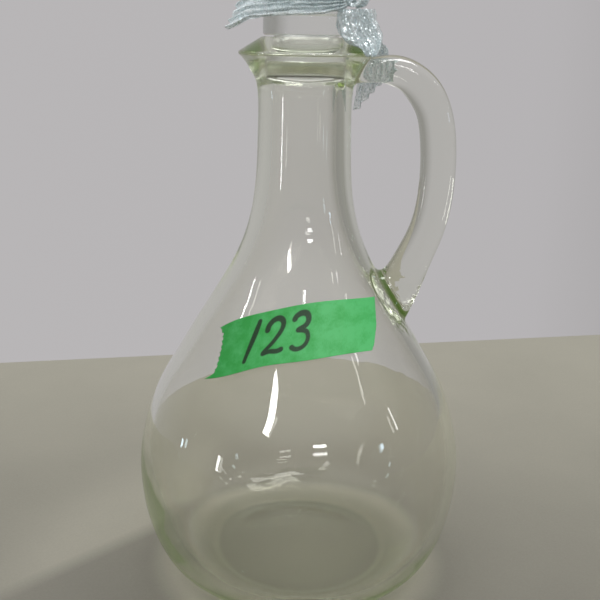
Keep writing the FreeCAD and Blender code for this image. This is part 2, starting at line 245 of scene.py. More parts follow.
# ========================================================================= handle
NPHI = 72
phi = np.linspace(0, 2 * math.pi, NPHI, endpoint=False)
rows = []
for i, (x, z, a, b) in enumerate(HANDLE):
    p, q = HANDLE[max(i - 1, 0)], HANDLE[min(i + 1, len(HANDLE) - 1)]
    t = np.array([q[0] - p[0], 0.0, q[1] - p[1]])
    t /= np.linalg.norm(t)
    out = np.cross([0, 1, 0], t)
    c, s = np.cos(phi), np.sin(phi)
    u = np.sign(c) * np.abs(c) ** (2 / HANDLE_POWER)
    w = np.sign(s) * np.abs(s) ** (2 / HANDLE_POWER)
    rows.append(np.array([x, 0, z]) + np.outer(a * u, out) + np.outer(b * w, [0, 1, 0]))
rows = np.array(rows)
mid = np.array([(h[0], h[1]) for h in HANDLE])
chord = np.concatenate([[0], np.cumsum(np.linalg.norm(np.diff(mid, axis=0), axis=1))])
generators = []
for j in range(NPHI):
    g = Curve(rows[:, j])
    g.t = chord
    n = len(chord)
    h = np.diff(chord)
    a = np.zeros((n, n))
    b = np.zeros((n, 3))
    a[0, 0], a[0, 1], a[-1, -1], a[-1, -2] = 2, 1, 2, 1
    b[0] = 3 * (g.p[1] - g.p[0]) / h[0]
    b[-1] = 3 * (g.p[-1] - g.p[-2]) / h[-1]
    for i in range(1, n - 1):
        a[i, i - 1], a[i, i], a[i, i + 1] = 1 / h[i - 1], 2 / h[i - 1] + 2 / h[i], 1 / h[i]
        b[i] = 3 * (g.p[i] - g.p[i - 1]) / h[i - 1] ** 2 + 3 * (g.p[i + 1] - g.p[i]) / h[i] ** 2
    g.m = np.linalg.solve(a, b)
    generators.append(g)


def outside_by(p):
    return np.hypot(p[..., 0], p[..., 1]) - skin_r(p[..., 2])


def root(g, lo, hi):
    """Where a generator passes through the skin: lo is inside it, hi outside."""
    for _ in range(48):
        m = (lo + hi) / 2
        if outside_by(g.at(m))[0] < 0:
            lo = m
        else:
            hi = m
    return (lo + hi) / 2


def onto_skin(p):
    """The nearest point on the skin, by a few steps along its normal."""
    p = np.array(p, float)
    for _ in range(12):
        n = skin_normal(p[0], p[1], p[2])
        p = p - n * float(outside_by(p)) * math.hypot(n[0], n[1])
    return p


def fillet(g, s_root, sign, d_off, d_on, n):
    """Points from the generator down to the skin, tangent to both."""
    hit = g.at(s_root)[0]
    leave = g.at(s_root + sign * d_off)[0]
    along = leave - hit
    nrm = skin_normal(*hit)
    centre = np.array([np.interp(s_root, chord, mid[:, 0]), 0.0, np.interp(s_root, chord, mid[:, 1])])
    away = hit - centre
    away -= nrm * (away @ nrm)
    away /= np.linalg.norm(away)
    land = onto_skin(hit + away * d_on)
    k = np.linspace(0, 1, n)[:, None]
    return (1 - k) ** 2 * leave + 2 * k * (1 - k) * hit + k ** 2 * land


NF = 9
length = chord[-1]
tops, lows = [], []
for j, g in enumerate(generators):
    c = (1 + math.cos(phi[j])) / 2            # 1 on the finger side, 0 on the far side
    s = abs(math.sin(phi[j]))
    st = root(g, 0.0, 60.0)
    sl = root(g, length, length - 60.0)
    top_on = 0.5 + 1.7 * c
    low_on = 1.0 + 3.6 * c ** 1.5 + 1.0 * s
    tops.append((st, fillet(g, st, 1, 0.9 + 2.0 * c, top_on, NF)))
    lows.append((sl, fillet(g, sl, -1, 1.3 + 4.4 * c ** 1.5 + 1.0 * s, low_on, NF)))

NRUN = 84
hand = np.zeros((2 * NF + NRUN, NPHI, 3))
for j, g in enumerate(generators):
    c = (1 + math.cos(phi[j])) / 2
    s = abs(math.sin(phi[j]))
    a = tops[j][0] + 0.9 + 2.0 * c
    b = lows[j][0] - (1.3 + 4.4 * c ** 1.5 + 1.0 * s)
    run = g.at(np.linspace(a, b, NRUN + 2))[1:-1]
    hand[:, j] = np.concatenate([tops[j][1][::-1], run, lows[j][1]])
hand_start = len(verts)
for k in range(len(hand)):
    for j in range(NPHI):
        verts.append(tuple(hand[k, j]))


# --------------------------------------------- opening the skin for the two roots
def loop_uv(points):
    return np.stack([np.arctan2(points[:, 1], points[:, 0]) * 1.0, skin_arc(points[:, 2])], 1)


def inside_loop(pts, loop):
    """Even-odd test of points against a closed loop, both in the plane."""
    x, y = pts[:, 0], pts[:, 1]
    res = np.zeros(len(pts), bool)
    for i in range(len(loop)):
        (x1, y1), (x2, y2) = loop[i], loop[(i + 1) % len(loop)]
        hitm = ((y1 > y) != (y2 > y)) & (x < (x2 - x1) * (y - y1) / (y2 - y1 + 1e-12) + x1)
        res ^= hitm
    return res


out_ring_s = np.array([skin_arc(z) if r > 20 or z < 255 else skin_arc(z) for r, z, _ in profile[first_out:last_out + 1]])
skip = set()
patches = []
for which, loop_idx in (("top", 0), ("low", len(hand) - 1)):
    loop3 = hand[loop_idx]
    uv = loop_uv(loop3)
    scale = float(np.mean(np.hypot(loop3[:, 0], loop3[:, 1])))
    uv_s = uv * np.array([scale, 1.0])
    i0 = int(np.searchsorted(out_ring_s, uv[:, 1].min())) - 3
    i1 = int(np.searchsorted(out_ring_s, uv[:, 1].max())) + 2
    i1 = min(i1, len(out_ring_s) - 2)
    j0 = int(np.searchsorted(theta, uv[:, 0].min())) - 3
    j1 = int(np.searchsorted(theta, uv[:, 0].max())) + 2
    pts, ids = [], []
    step = np.linalg.norm(uv_s - np.roll(uv_s, 1, 0), axis=1).mean()
    for i in range(i0, i1 + 1):
        for j in range(j0, j1 + 1):
            pts.append((theta[j] * scale, out_ring_s[i]))
            ids.append(ring_start[first_out + i] + j)
    pts, ids = np.array(pts), np.array(ids)
    ii, jj = np.divmod(np.arange(len(pts)), j1 - j0 + 1)
    rim = (ii == 0) | (ii == i1 - i0) | (jj == 0) | (jj == j1 - j0)
    near = np.min(np.linalg.norm(pts[:, None] - uv_s[None], axis=2), axis=1)
    keep = rim | (~inside_loop(pts, uv_s) & (near > 0.45 * step))
    pts, ids, rim = pts[keep], ids[keep], rim[keep]
    n0 = len(pts)
    allp = np.concatenate([pts, uv_s])
    idall = np.concatenate([ids, hand_start + loop_idx * NPHI + np.arange(NPHI)])
    edges = [(n0 + k, n0 + (k + 1) % NPHI) for k in range(NPHI)]
    res = delaunay_2d_cdt([Vector(p) for p in allp], edges, [], 0, 1e-7)
    rv, rf, orig = res[0], res[2], res[3]
    back = {k: o[0] for k, o in enumerate(orig) if o}
    for f in rf:
        cen = np.mean([(rv[k][0], rv[k][1]) for k in f], axis=0)[None]
        if not inside_loop(cen, uv_s)[0]:
            patches.append([int(idall[back[k]]) for k in f])
    for i in range(i0, i1):
        for j in range(j0, j1):
            skip.add((first_out + i, j))

for k in range(len(profile) - 1):
    a, b = ring_start[k], ring_start[k + 1]
    for j in range(SEG):
        if (k, j) in skip:
            continue
        j2 = (j + 1) % SEG
        faces.append((a + j, a + j2, b + j2, b + j))
for j in range(SEG):
    j2 = (j + 1) % SEG
    faces.append((pole_low, ring_start[0] + j2, ring_start[0] + j))
    faces.append((pole_floor, ring_start[-1] + j, ring_start[-1] + j2))
for k in range(len(hand) - 1):
    a = hand_start + k * NPHI
    for j in range(NPHI):
        j2 = (j + 1) % NPHI
        faces.append((a + j, a + j2, a + NPHI + j2, a + NPHI + j))
faces += patches


def make(name, vs, fs, flat=False):
    """A mesh object from points in millimetres, with its unused points dropped."""
    vs = np.array(vs, float) * MM
    used = np.zeros(len(vs), bool)
    for f in fs:
        used[list(f)] = True
    new = np.cumsum(used) - 1
    me = bpy.data.meshes.new(name)
    me.from_pydata(vs[used].tolist(), [], [[int(new[i]) for i in f] for f in fs])
    me.validate()
    ob = bpy.data.objects.new(name, me)
    scene.collection.objects.link(ob)
    me.polygons.foreach_set("use_smooth", [not flat] * len(me.polygons))
    me.update()
    return ob


def face_out(ob):
    """Turns the faces outwards together."""
    import bmesh
    bm = bmesh.new()
    bm.from_mesh(ob.data)
    bmesh.ops.recalc_face_normals(bm, faces=bm.faces)
    bm.to_mesh(ob.data)
    bm.free()
    ob.data.update()


def open_edges(ob):
    import bmesh
    bm = bmesh.new()
    bm.from_mesh(ob.data)
    n = sum(1 for e in bm.edges if len(e.link_faces) != 2)
    vol = bm.calc_volume(signed=True)
    bm.free()
    return n, vol * 1e6


# ====================================================================== materials
def nodes_of(name):
    m = bpy.data.materials.new(name)
    m.use_nodes = True
    nt = m.node_tree
    nt.nodes.clear()
    o = nt.nodes.new("ShaderNodeOutputMaterial")
    b = nt.nodes.new("ShaderNodeBsdfPrincipled")
    nt.links.new(b.outputs["BSDF"], o.inputs["Surface"])
    return m, nt, b, o


def new(nt, kind, **settings):
    n = nt.nodes.new(kind)
    for k, v in settings.items():
        setattr(n, k, v)
    return n


def noise(nt, coord, scale, detail=2.0, rough=0.5):
    n = new(nt, "ShaderNodeTexNoise")
    n.inputs["Scale"].default_value = scale
    n.inputs["Detail"].default_value = detail
    n.inputs["Roughness"].default_value = rough
    nt.links.new(coord, n.inputs["Vector"])
    return n


def glass(name, tint, density, wave=0.08, colour=(0.965, 0.955, 0.945)):
    m, nt, b, o = nodes_of(name)
    # Painted shade: the base colour goes near black where the rim attribute is set, drawing a dark line along the
    # plug's lower edge.
    rim = new(nt, "ShaderNodeAttribute", attribute_name="rim")
    skin = new(nt, "ShaderNodeMix", data_type="RGBA")
    skin.inputs["B"].default_value = (0.07, 0.07, 0.06, 1.0)
    nt.links.new(rim.outputs["Fac"], skin.inputs["Factor"])
    nt.links.new(skin.outputs["Result"], b.inputs["Base Color"])
    wet = new(nt, "ShaderNodeMix", data_type="RGBA")
    wet.inputs["A"].default_value = (*colour, 1.0)
    wet.inputs["B"].default_value = (1.0, 1.0, 1.0, 1.0)
    nt.links.new(wet.outputs["Result"], skin.inputs["A"])
    # Painted glow: where a ray has run round inside the wall seven times, an emission stands in for the light that
    # would come out green, from all over the room, greener low down and lilac higher up.
    path = new(nt, "ShaderNodeLightPath")
    long = new(nt, "ShaderNodeMath", operation="COMPARE")
    long.inputs[1].default_value, long.inputs[2].default_value = 7.0, 0.5
    nt.links.new(path.outputs["Glossy Depth"], long.inputs[0])
    nt.links.new(long.outputs[0], b.inputs["Emission Strength"])
    place = new(nt, "ShaderNodeTexCoord")
    spot = new(nt, "ShaderNodeSeparateXYZ")
    nt.links.new(place.outputs["Object"], spot.inputs["Vector"])
    high = new(nt, "ShaderNodeMapRange")
    high.inputs["From Min"].default_value, high.inputs["From Max"].default_value = 0.16, 0.22
    nt.links.new(spot.outputs["Z"], high.inputs["Value"])
    painted_glow = new(nt, "ShaderNodeMix", data_type="RGBA")
    painted_glow.inputs["A"].default_value = (0.195, 0.203, 0.155, 1.0)
    painted_glow.inputs["B"].default_value = (0.265, 0.215, 0.27, 1.0)
    nt.links.new(high.outputs["Result"], painted_glow.inputs["Factor"])
    nt.links.new(painted_glow.outputs["Result"], b.inputs["Emission Color"])
    m.cycles.emission_sampling = "NONE"
    b.inputs["Transmission Weight"].default_value = 1.0
    ground = new(nt, "ShaderNodeAttribute", attribute_name="ground")
    matt = new(nt, "ShaderNodeMath", operation="MULTIPLY")
    matt.inputs[1].default_value = 0.2
    nt.links.new(ground.outputs["Fac"], matt.inputs[0])
    nt.links.new(ground.outputs["Fac"], wet.inputs["Factor"])
    nt.links.new(matt.outputs[0], b.inputs["Roughness"])
    film = new(nt, "ShaderNodeMapRange")            # the joint is wet, which hides its faces
    film.inputs["To Min"].default_value, film.inputs["To Max"].default_value = 1.5, 1.14
    nt.links.new(ground.outputs["Fac"], film.inputs["Value"])
    nt.links.new(film.outputs["Result"], b.inputs["IOR"])
    tc = new(nt, "ShaderNodeTexCoord")
    slow = noise(nt, tc.outputs["Object"], 55.0, 2.0, 0.45)
    quick = noise(nt, tc.outputs["Object"], 250.0, 1.0, 0.4)
    melt = new(nt, "ShaderNodeAttribute", attribute_name="melt")
    lump = new(nt, "ShaderNodeMath", operation="MULTIPLY")
    nt.links.new(quick.outputs["Fac"], lump.inputs[0])
    nt.links.new(melt.outputs["Fac"], lump.inputs[1])
    height = new(nt, "ShaderNodeMath", operation="MULTIPLY_ADD")
    height.inputs[1].default_value = wave
    nt.links.new(slow.outputs["Fac"], height.inputs[0])
    nt.links.new(lump.outputs[0], height.inputs[2])
    bump = new(nt, "ShaderNodeBump")
    bump.inputs["Strength"].default_value = 1.0
    bump.inputs["Distance"].default_value = MM
    nt.links.new(height.outputs[0], bump.inputs["Height"])
    nt.links.new(bump.outputs["Normal"], b.inputs["Normal"])
    v = new(nt, "ShaderNodeVolumeAbsorption")
    v.inputs["Color"].default_value = (*tint, 1.0)
    v.inputs["Density"].default_value = density
    nt.links.new(v.outputs["Volume"], o.inputs["Volume"])
    return m


GLASS_TINT, GLASS_DENSITY = (0.66, 0.83, 0.34), 10.0
clear_glass = glass("clear_glass", GLASS_TINT, GLASS_DENSITY)
stopper_glass = glass("stopper_glass", GLASS_TINT, 2.0, 0.03, (0.975, 0.975, 0.975))


def points(ob):
    """Positions of a mesh's points, in millimetres, and their distance from the axis."""
    co = np.zeros(len(ob.data.vertices) * 3)
    ob.data.vertices.foreach_get("co", co)
    co = co.reshape(-1, 3) / MM
    return co, np.hypot(co[:, 0], co[:, 1])


def mark(ob, name, value):
    a = ob.data.attributes.new(name, "FLOAT", "POINT")
    a.data.foreach_set("value", np.asarray(value, dtype=np.float32))


def mark_ground(ob, r_hi, lo, hi, r_lo=0.0):
    """Marks the ground faces of the joint: points within a radius, between two heights."""
    co, r = points(ob)
    mark(ob, "ground", (r < r_hi) & (r > r_lo) & (co[:, 2] > lo) & (co[:, 2] < hi))


# ========================================================================= bottle
bottle = make("bottle_glass", verts, faces)
face_out(bottle)
print("bottle open edges, cm3:", open_edges(bottle), "faces", len(bottle.data.polygons))
bottle.data.materials.append(clear_glass)
mark_ground(bottle, MOUTH_R + 0.2, MOUTH_LOW_Z - 0.2, LAND[1] - 0.6)
co, r = points(bottle)
mark(bottle, "melt", 0.5 * smooth(np.linalg.norm(co - np.array([44.0, 0.0, 138.0]), axis=1), 20, 9)
     + 0.07 * smooth(co[:, 2], 14, 10) * smooth(r, 50, 38) * (co[:, 2] > 7))
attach(bottle, "bottle")
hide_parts("bottle_body", "handle")

# ======================================================================== stopper
dome_r = (PLUG_LOW_R ** 2 + PLUG_DOME ** 2) / (2 * PLUG_DOME)
dome_a = math.asin(PLUG_LOW_R / dome_r)
dome = np.array([(dome_r * math.sin(t), PLUG_LOW_Z - PLUG_DOME + dome_r * (1 - math.cos(t)))
                 for t in np.linspace(0.07 * dome_a, dome_a, 14)])
plug_arc = corner(dome[-2], dome[-1], (PLUG_TOP_R, SHOULDER_Z), 0.5, 6)
under_arc = corner((PLUG_TOP_R, SHOULDER_Z), (SHOULDER_R, SHOULDER_Z), (SHOULDER_R, DRUM_TOP), 0.9)
drum_arc = corner((SHOULDER_R, SHOULDER_Z), (SHOULDER_R, DRUM_TOP), (WAIST_R, DRUM_TOP), 1.1)
head_curve = Curve([(WAIST_R + 1.2, DRUM_TOP), (WAIST_R, WAIST_LOW), (WAIST_R - 0.1, 273.0), (WAIST_R, WAIST_TOP)]
                   + HEAD + [(0.0, TOP_Z)], (-1.0, 0.25), (-1.0, 0.0))
head_line = spaced(head_curve.at(np.linspace(0, head_curve.t[-1], 4000)), 0.8)
knee = corner(plug_arc[-1], (PLUG_TOP_R, SHOULDER_Z), under_arc[0], 0.25, 4)
turned = np.concatenate([
    dome[:-2], plug_arc, spaced([plug_arc[-1], knee[0]], 1.0)[1:-1], knee,
    spaced([knee[-1], under_arc[0]], 0.8)[1:-1], under_arc, spaced([under_arc[-1], drum_arc[0]], 0.9)[1:-1], drum_arc,
    spaced([drum_arc[-1], head_line[0]], 0.7)[1:], head_line[1:-1]])


def revolve(name, line, seg):
    th = np.linspace(0, 2 * math.pi, seg, endpoint=False)
    vs = [(r * math.cos(t), r * math.sin(t), z) for r, z in line for t in th]
    lo, hi = len(vs), len(vs) + 1
    vs += [(0, 0, line[0][1] - 0.01), (0, 0, line[-1][1])]
    fs = []
    for k in range(len(line) - 1):
        for j in range(seg):
            j2 = (j + 1) % seg
            fs.append((k * seg + j, k * seg + j2, (k + 1) * seg + j2, (k + 1) * seg + j))
    for j in range(seg):
        j2 = (j + 1) % seg
        fs.append((lo, j2, j))
        fs.append((hi, (len(line) - 1) * seg + j, (len(line) - 1) * seg + j2))
    return make(name, vs, fs)


stopper = revolve("stopper_solid", turned, 144)
stopper.data.vertices[len(stopper.data.vertices) - 1].co.z = TOP_Z * MM
face_out(stopper)
print("stopper open edges, cm3:", open_edges(stopper))
stopper.data.materials.append(stopper_glass)
mark_ground(stopper, PLUG_TOP_R + 0.2, PLUG_LOW_Z + 0.6, SHOULDER_Z - 0.2, PLUG_LOW_R - 0.2)
co, r = points(stopper)
# Painted shade: the rim attribute marks the plug's lower edge, which the glass material darkens to a dark line.
mark(stopper, "rim", (r > PLUG_LOW_R - 1.1) & (r < PLUG_LOW_R + 0.3) & (co[:, 2] < PLUG_LOW_Z + 0.5))
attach(stopper, "stopper")
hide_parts("stopper")

# =========================================================================== tape
low_edge, high_edge = Curve(TAPE_LOW), Curve(TAPE_HIGH)


def tape_xz(u, v):
    return (1 - v)[:, None] * low_edge.unit(u) + v[:, None] * high_edge.unit(u)


def tape_uv(points):
    """Shares along and across the tape of points given as (x, z)."""
    gu, gv = np.meshgrid(np.linspace(-0.12, 1.12, 621), np.linspace(-0.05, 1.05, 221))
    grid = tape_xz(gu.ravel(), gv.ravel())
    res = []
    for p in points:
        k = np.argmin(((grid - np.array(p)) ** 2).sum(1))
        res.append((gu.ravel()[k], gv.ravel()[k]))
    return np.array(res)


left_uv = tape_uv([(-42.0, 112.5), (-37.9, 115.6), (-36.3, 118.3), (-34.4, 125.7), (-33.8, 130.9), (-35.2, 133.0)])
right_uv = tape_uv([(30.5, 126.7), (31.7, 129.1), (33.0, 135.7), (32.4, 145.6)])
NU, NV = 300, 96
vv = np.linspace(0, 1, NV)


def edge_at(uv, v):
    o = np.argsort(uv[:, 1])
    return np.interp(v, uv[o, 1], uv[o, 0])


tear = 0.004 * np.sin(vv * 61 + 1.0) + 0.003 * np.sin(vv * 143 + 0.3) + 0.002 * np.sin(vv * 260)
u_left = edge_at(left_uv, vv) + tear * smooth(vv, 0.02, 0.1)
u_right = edge_at(right_uv, vv) + 0.0012 * np.sin(vv * 90)
fu = np.linspace(0, 1, NU)
U = u_left[:, None] * (1 - fu)[None] + u_right[:, None] * fu[None]
Vg = np.repeat(vv[:, None], NU, 1)
xz = tape_xz(U.ravel(), Vg.ravel())
tx, tz = xz[:, 0], xz[:, 1]
ty = -np.sqrt(np.maximum(skin_r(tz) ** 2 - tx ** 2, 0))
base = np.stack([tx, ty, tz], 1)
tn = skin_normal(tx, ty, tz)
ul, vl = U.ravel() * 76.0, Vg.ravel() * 24.0          # millimetres along and across the tape
crease = 0.05 * np.exp(-((ul - 53.0 - 0.05 * vl) / 0.35) ** 2) + 0.04 * np.exp(-((ul - 61.5) / 0.3) ** 2)
lift = 0.25 * np.exp(-(np.minimum(np.abs(ul - 76.0), 9) / 1.6) ** 2) * smooth(vl, 5, 0) + crease
lift += 0.22 * smooth(ul, 1.5, -1.5) * smooth(vl, 4, 0)
grain = 0.012 * np.sin(ul * 9.0 + 1.5 * np.sin(vl * 1.3)) * np.sin(vl * 2.1 + np.sin(ul * 0.7))
top_pts = base + tn * (TAPE_GAP + TAPE_T + lift + grain)[:, None]
low_pts = base + tn * (TAPE_GAP + lift)[:, None]
tv = np.concatenate([top_pts, low_pts])
tf = []
n1 = NU * NV
for i in range(NV - 1):
    for j in range(NU - 1):
        a = i * NU + j
        tf.append((a, a + 1, a + NU + 1, a + NU))
        tf.append((n1 + a, n1 + a + NU, n1 + a + NU + 1, n1 + a + 1))
rim_idx = ([j for j in range(NU)] + [i * NU + NU - 1 for i in range(1, NV)]
           + [(NV - 1) * NU + j for j in range(NU - 2, -1, -1)] + [i * NU for i in range(NV - 2, 0, -1)])
for k in range(len(rim_idx)):
    a, b = rim_idx[k], rim_idx[(k + 1) % len(rim_idx)]
    tf.append((a, n1 + a, n1 + b, b))

# Plain digits drawn with a broad marker, in millimetres along and across the tape.
STROKES = [
    [(17.2, 4.2), (18.6, 9.0), (20.6, 15.5), (21.8, 20.2)],
    [(26.4, 15.6), (27.6, 18.6), (30.4, 19.9), (33.0, 18.6), (33.4, 15.6), (31.6, 12.2), (28.4, 8.4), (25.8, 5.6),
     (28.6, 6.0), (31.4, 5.7), (34.0, 6.2)],
    [(38.6, 18.2), (41.0, 20.2), (44.0, 19.6), (45.0, 17.0), (43.2, 14.4), (40.8, 13.4), (43.6, 12.8), (45.6, 10.4),
     (45.0, 7.2), (42.0, 5.4), (38.8, 6.4)],
]
ink = np.full(n1, 9.0)
P2 = np.stack([ul, vl], 1)
for st in STROKES:
    c = Curve(st)
    line = c.at(np.linspace(0, c.t[-1], 160))
    w = 1.15 + 0.18 * np.sin(np.linspace(0, 5, 160) + st[0][0])
    for k in range(160):
        d = np.hypot(P2[:, 0] - line[k, 0], P2[:, 1] - line[k, 1]) - w[k]
        ink = np.minimum(ink, d)
ink_amount = np.concatenate([smooth(ink, 0.22, -0.22), np.zeros(n1)])
tape = make("lot_tape", tv, tf)
face_out(tape)
att = tape.data.attributes.new("ink", "FLOAT", "POINT")
att.data.foreach_set("value", ink_amount.astype(np.float32))
flat_uv = tape.data.attributes.new("flat", "FLOAT_VECTOR", "POINT")
fl = np.stack([np.concatenate([ul, ul]), np.concatenate([vl, vl]), np.zeros(2 * n1)], 1)
flat_uv.data.foreach_set("vector", fl.astype(np.float32).ravel())
print("tape open edges, cm3:", open_edges(tape))


def tape_material():
    m, nt, b, o = nodes_of("green_tape")
    flat = new(nt, "ShaderNodeAttribute", attribute_name="flat")
    mark = new(nt, "ShaderNodeAttribute", attribute_name="ink")
    mapping = new(nt, "ShaderNodeMapping")
    mapping.inputs["Scale"].default_value = (1.0, 0.35, 1.0)
    nt.links.new(flat.outputs["Vector"], mapping.inputs["Vector"])
    crepe = noise(nt, mapping.outputs["Vector"], 2.6, 3.0, 0.6)
    blotch = noise(nt, flat.outputs["Vector"], 0.16, 3.0, 0.55)
    ramp = new(nt, "ShaderNodeValToRGB")
    ramp.color_ramp.elements[0].position, ramp.color_ramp.elements[1].position = 0.3, 0.72
    ramp.color_ramp.elements[0].color = (0.034, 0.36, 0.066, 1)
    ramp.color_ramp.elements[1].color = (0.087, 0.50, 0.155, 1)
    add = new(nt, "ShaderNodeMath", operation="MULTIPLY_ADD")
    add.inputs[1].default_value = 0.45
    nt.links.new(crepe.outputs["Fac"], add.inputs[0])
    nt.links.new(blotch.outputs["Fac"], add.inputs[2])
    sub = new(nt, "ShaderNodeMath", operation="SUBTRACT")
    sub.inputs[1].default_value = 0.36
    nt.links.new(add.outputs[0], sub.inputs[0])
    along = new(nt, "ShaderNodeSeparateXYZ")
    nt.links.new(flat.outputs["Vector"], along.inputs["Vector"])
    # Painted light: the tape's colour grows paler along its length, standing in for more light falling on its
    # right-hand end.
    painted_light_rightward = new(nt, "ShaderNodeMath", operation="MULTIPLY_ADD")
    painted_light_rightward.inputs[1].default_value = 0.0042
    nt.links.new(along.outputs["X"], painted_light_rightward.inputs[0])
    nt.links.new(sub.outputs[0], painted_light_rightward.inputs[2])
    nt.links.new(painted_light_rightward.outputs[0], ramp.inputs["Fac"])
    dry = noise(nt, flat.outputs["Vector"], 2.2, 3.0, 0.65)
    dryr = new(nt, "ShaderNodeMapRange")
    dryr.inputs["From Min"].default_value, dryr.inputs["From Max"].default_value = 0.3, 0.7
    dryr.inputs["To Min"].default_value, dryr.inputs["To Max"].default_value = 0.82, 1.0
    nt.links.new(dry.outputs["Fac"], dryr.inputs["Value"])
    amount = new(nt, "ShaderNodeMath", operation="MULTIPLY")
    nt.links.new(mark.outputs["Fac"], amount.inputs[0])
    nt.links.new(dryr.outputs["Result"], amount.inputs[1])
    mix = new(nt, "ShaderNodeMix", data_type="RGBA")
    nt.links.new(amount.outputs[0], mix.inputs["Factor"])
    nt.links.new(ramp.outputs["Color"], mix.inputs["A"])
    mix.inputs["B"].default_value = (0.008, 0.010, 0.008, 1)
    b.inputs["Specular IOR Level"].default_value = 0.22
    nt.links.new(mix.outputs["Result"], b.inputs["Base Color"])
    rr = new(nt, "ShaderNodeMapRange")
    rr.inputs["To Min"].default_value, rr.inputs["To Max"].default_value = 0.42, 0.62
    nt.links.new(crepe.outputs["Fac"], rr.inputs["Value"])
    nt.links.new(rr.outputs["Result"], b.inputs["Roughness"])
    bump = new(nt, "ShaderNodeBump")
    bump.inputs["Strength"].default_value = 0.7
    bump.inputs["Distance"].default_value = 0.00012
    nt.links.new(crepe.outputs["Fac"], bump.inputs["Height"])
    nt.links.new(bump.outputs["Normal"], b.inputs["Normal"])
    return m


tape.data.materials.append(tape_material())
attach(tape, "bottle")
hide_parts("lot_label")

# ========================================================================= ribbon
RIBBON_WIDE = 25.0            # width of the ribbon lying flat
BAND_R, BAND_LOW, BAND_HIGH = 16.7, 266.7, 278.2
KNOT_AZ, KNOT_R, KNOT_Z = math.radians(-28.0), 23.6, 272.6
# loops as (x, y, z, half height, half thickness)
LOOP_LEFT = [
    (16.6, -17.6, 275.8, 3.0, 1.8), (8.6, -23.6, 279.0, 5.6, 2.4), (-3.2, -26.6, 282.0, 8.0, 2.5),
    (-15.2, -25.6, 282.5, 8.4, 3.6), (-24.4, -20.0, 281.0, 7.4, 3.0), (-27.8, -14.7, 279.5, 3.2, 1.6),
]
# the loop that hangs at the right, and the ends, as (centre, half width, direction across, depth of the pleats)
LOOP_RIGHT = [
    ((20.4, -13.3, 267.9), 8.4, (0.87, 0.48, 0.02), 1.6), ((20.9, -13.4, 262.8), 9.6, (0.87, 0.48, 0.02), 2.0),
    ((22.4, -13.7, 258.2), 10.3, (0.86, 0.50, 0.0), 2.0), ((24.8, -14.7, 254.6), 8.6, (0.83, 0.56, 0.0), 1.5),
    ((26.9, -16.5, 252.0), 4.6, (0.85, 0.52, -0.05), 1.0),
]
TIP_RIGHT = [(25.6, -19.3, 249.4), (29.0, -17.4, 249.4)]
END_RIGHT = [
    ((24.2, -5.2, 267.6), 3.6, (0.80, -0.45, -0.40), 1.0), ((25.8, -4.4, 262.4), 4.2, (0.78, -0.45, -0.44), 1.0),
    ((27.8, -2.6, 257.8), 4.4, (0.78, -0.42, -0.46), 1.0), ((29.8, 1.2, 255.0), 4.4, (0.82, -0.25, -0.46), 1.0),
    ((31.4, 6.6, 253.4), 4.6, (0.88, -0.15, -0.40), 0.9), ((33.0, 13.2, 246.6), 6.5, (0.86, -0.42, -0.28), 1.3),
]
CUT_RIGHT = [(23.2, 19.4, 222.8), (38.9, 12.6, 243.0)]
END_LEFT = [
    ((15.6, -18.2, 270.2), 2.0, (0, 0, 1), 1.4), ((6.0, -22.0, 269.4), 3.8, (0, 0, 1), 1.4),
    ((-6.0, -23.0, 269.4), 4.4, (0, 0, 1), 1.4), ((-17.0, -20.0, 268.8), 4.5, (0, 0, 1), 1.4),
    ((-26.0, -15.4, 266.9), 4.6, (0, 0, 1), 1.3),
]
CUT_LEFT = [(-34.0, -11.2, 259.0), (-28.0, -13.6, 269.6)]


def waves(n, lo, hi, seed):
    """Wave vectors, phases and weights of a repeatable crumple."""
    rng = np.random.default_rng(seed)
    lam = np.exp(rng.uniform(math.log(lo), math.log(hi), n))
    a = rng.uniform(0, 2 * math.pi, n)
    k = 2 * math.pi / lam
    return k * np.cos(a), k * np.sin(a), rng.uniform(0, 2 * math.pi, n), lam / lam.mean()


def crumple(u, v, wv):
    out = np.zeros_like(u)
    for kx, ky, ph, am in zip(*wv):
        out += am * np.sin(kx * u + ky * v + ph)
    return out / math.sqrt(len(wv[0]))


def unit(a):
    return a / np.linalg.norm(a, axis=-1, keepdims=True)


def eased(a, n):
    """A run of values with its corners rounded off."""
    k = np.hanning(2 * n + 3)[1:-1]
    k /= k.sum()
    pad = np.concatenate([np.repeat(a[:1], n, 0), a, np.repeat(a[-1:], n, 0)])
    if a.ndim == 1:
        return np.convolve(pad, k, "valid")
    return np.stack([np.convolve(pad[:, i], k, "valid") for i in range(a.shape[1])], 1)


